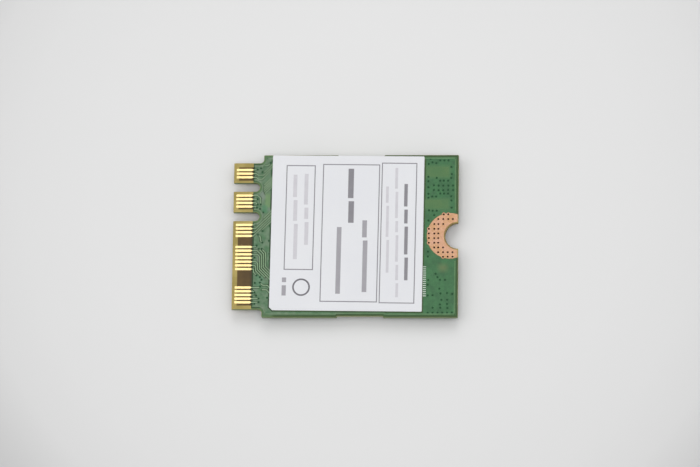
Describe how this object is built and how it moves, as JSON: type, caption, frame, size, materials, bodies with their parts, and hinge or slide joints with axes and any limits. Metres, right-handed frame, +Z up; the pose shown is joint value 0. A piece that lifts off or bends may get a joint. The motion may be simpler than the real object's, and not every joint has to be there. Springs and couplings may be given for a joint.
{
  "type": "laptop Wi-Fi card",
  "caption": "Flat plug-in radio card with a notched contact tongue, a half-moon screw recess, a paper label, a stamped shield can and coaxial antenna receptacles.",
  "frame": {"origin": "middle of the card's outline, on the surface that the shield lid rests on", "axes": "+X along the card from the contact edge to the screw end, +Y across the card, +Z up through the label side"},
  "size_m": [0.03, 0.022, 0.0023],
  "materials": {
    "board": "green solder mask over glass-fibre laminate, gold-plated contacts",
    "label_paper": "satin coated paper label",
    "shield_tin": "satin tin-plated sheet",
    "chip_moulding": "fine matt moulding",
    "ceramic": "fired ceramic with tinned end caps",
    "ferrite": "moulded ferrite with tinned end caps",
    "insulator": "natural moulded resin",
    "gold_plating": "bright gold plating"
  },
  "bodies": {
    "root": {"band_filter_1": "ceramic", "band_filter_2": "ceramic", "bulk_capacitor_1": "ceramic", "bulk_capacitor_2": "ceramic", "circuit_board": "board", "coupling_capacitor_1": "ceramic", "coupling_capacitor_2": "ceramic", "crystal": "ceramic", "decoupling_capacitor_01": "ceramic", "decoupling_capacitor_02": "ceramic", "decoupling_capacitor_03": "ceramic", "decoupling_capacitor_04": "ceramic", "decoupling_capacitor_05": "ceramic", "decoupling_capacitor_06": "ceramic", "decoupling_capacitor_07": "ceramic", "decoupling_capacitor_08": "ceramic", "decoupling_capacitor_09": "ceramic", "decoupling_capacitor_10": "ceramic", "decoupling_capacitor_11": "ceramic", "decoupling_capacitor_12": "ceramic", "decoupling_capacitor_13": "ceramic", "decoupling_capacitor_14": "ceramic", "front_end_module_1": "chip_moulding", "front_end_module_2": "chip_moulding", "label": "label_paper", "matching_capacitor_1": "ceramic", "matching_capacitor_2": "ceramic", "memory_chip": "chip_moulding", "power_converter": "chip_moulding", "power_inductor_1": "ferrite", "power_inductor_2": "ferrite", "radio_chip": "chip_moulding", "receptacle_1_base": "insulator", "receptacle_1_contact": "gold_plating", "receptacle_1_shell": "gold_plating", "receptacle_2_base": "insulator", "receptacle_2_contact": "gold_plating", "receptacle_2_shell": "gold_plating", "shield_frame": "shield_tin", "shield_lid": "shield_tin"}
  },
  "joints": []
}
